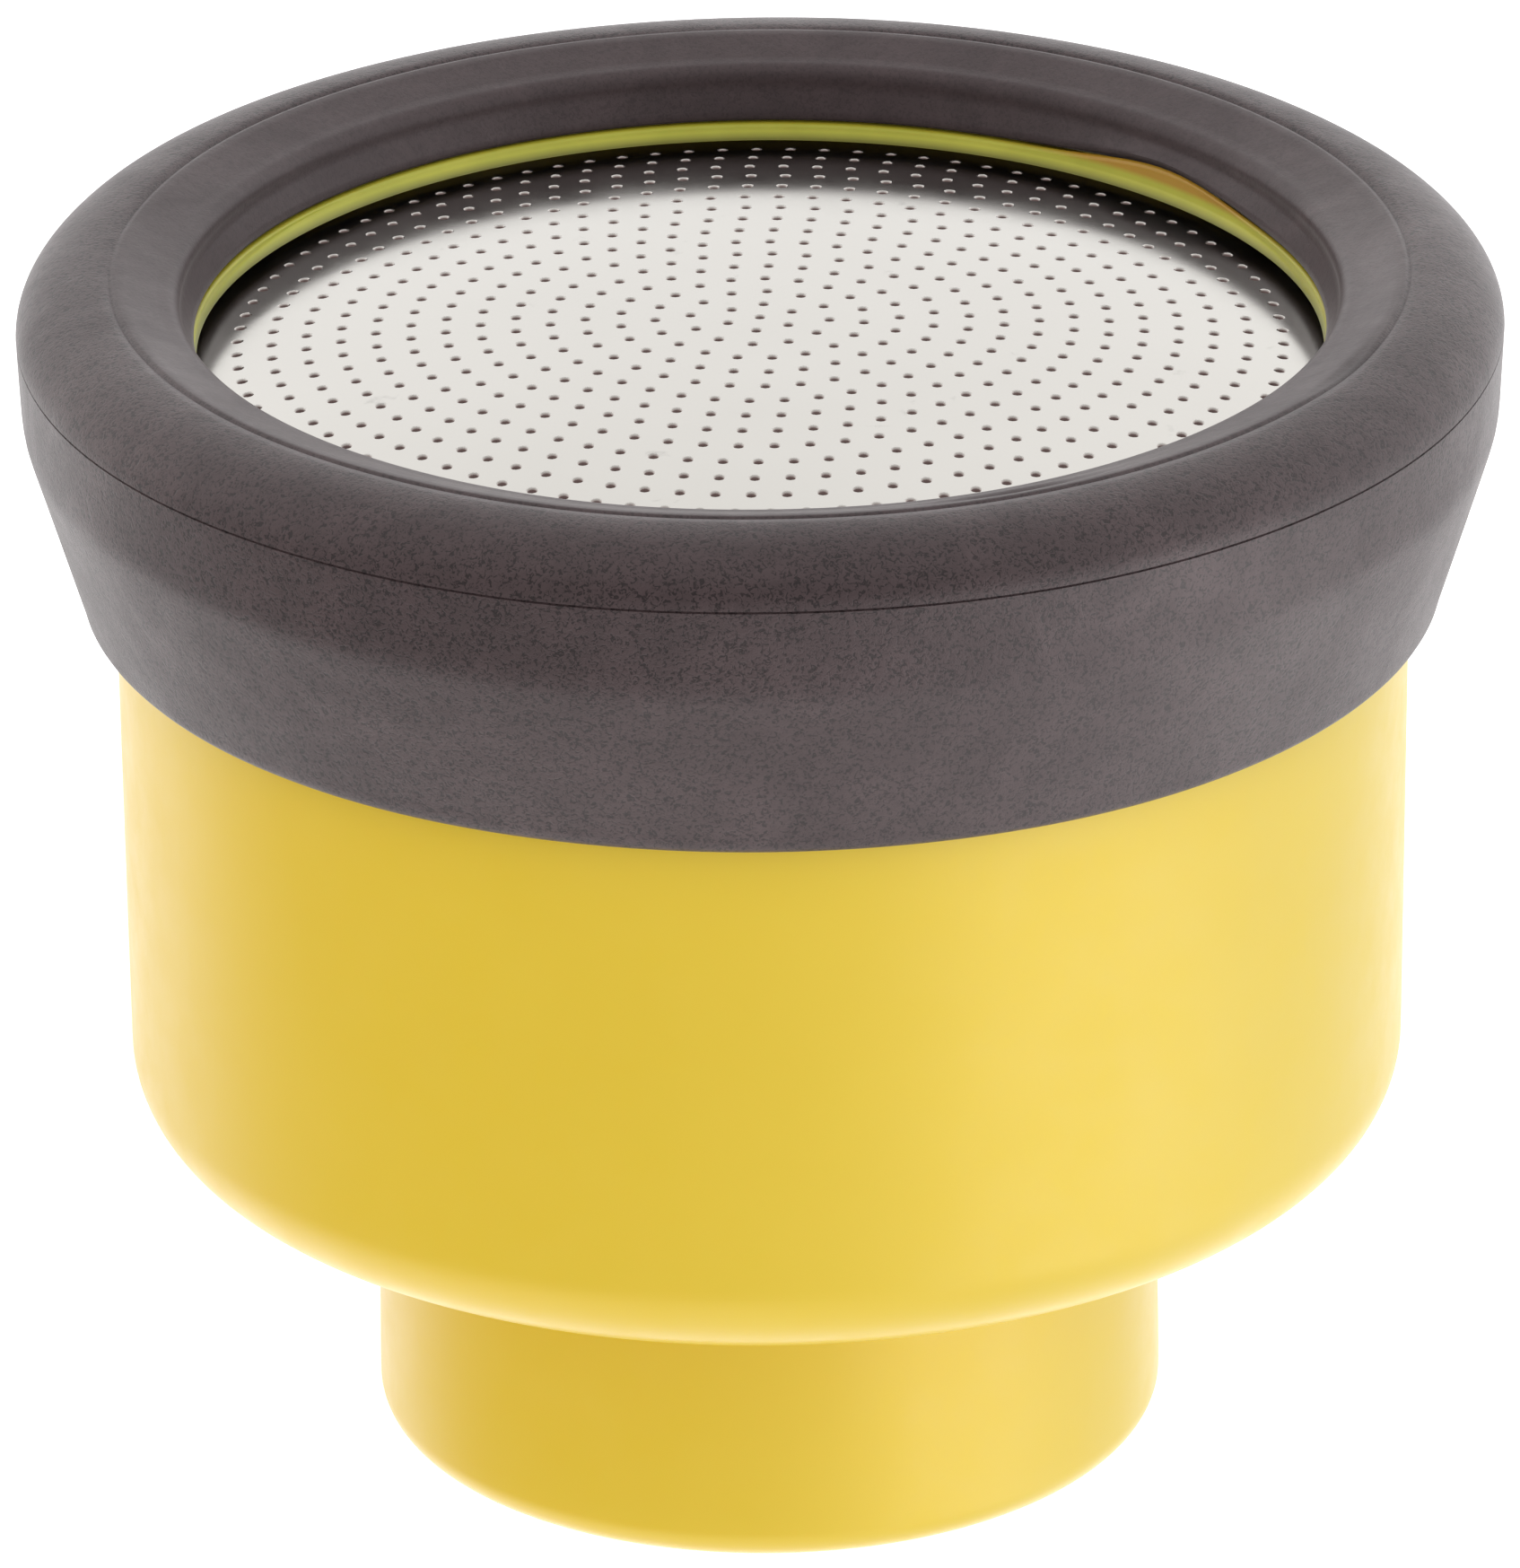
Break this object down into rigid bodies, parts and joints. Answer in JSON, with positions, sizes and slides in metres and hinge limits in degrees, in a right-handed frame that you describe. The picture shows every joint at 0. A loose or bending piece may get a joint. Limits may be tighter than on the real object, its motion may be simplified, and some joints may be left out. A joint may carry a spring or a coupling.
{
  "type": "watering rose",
  "caption": "Hose-end watering rose: a round cup on a threaded neck, with a soft bumper collar and a domed drilled steel face plate.",
  "frame": {"origin": "centre of the neck's bottom face, where the hose enters", "axes": "+Z is the axis of the head, from the hose towards the face plate; +X is to the right and +Y away from the viewer in the front view"},
  "size_m": [0.0676, 0.0676, 0.0569],
  "materials": {
    "body_plastic": "satin-gloss moulded yellow plastic",
    "collar_rubber": "matt charcoal rubber with a fine leathery grain",
    "plate_steel": "bright rolled stainless steel",
    "ring_plastic": "satin yellow-green plastic",
    "seal_rubber": "matt black rubber",
    "insert_plastic": "natural white moulded plastic"
  },
  "bodies": {
    "head": {"body_shell": "body_plastic", "plate_support": "insert_plastic", "diffuser_disc": "insert_plastic", "inlet_strainer": "insert_plastic", "hose_washer": "seal_rubber", "plate_gasket": "seal_rubber"},
    "collar": {"bumper_collar": "collar_rubber"},
    "face": {"face_plate": "plate_steel", "plate_ring": "ring_plastic"}
  },
  "joints": [
    {"name": "collar_lift", "type": "slide", "parent": "head", "child": "collar", "axis": [0, 0, 1], "range_m": [0, 0.03]},
    {"name": "face_lift", "type": "slide", "parent": "head", "child": "face", "axis": [0, 0, 1], "range_m": [0, 0.012]}
  ],
  "couplings": [
    {"joint": "face_lift", "follows": "collar_lift", "ratio": 0.4}
  ]
}
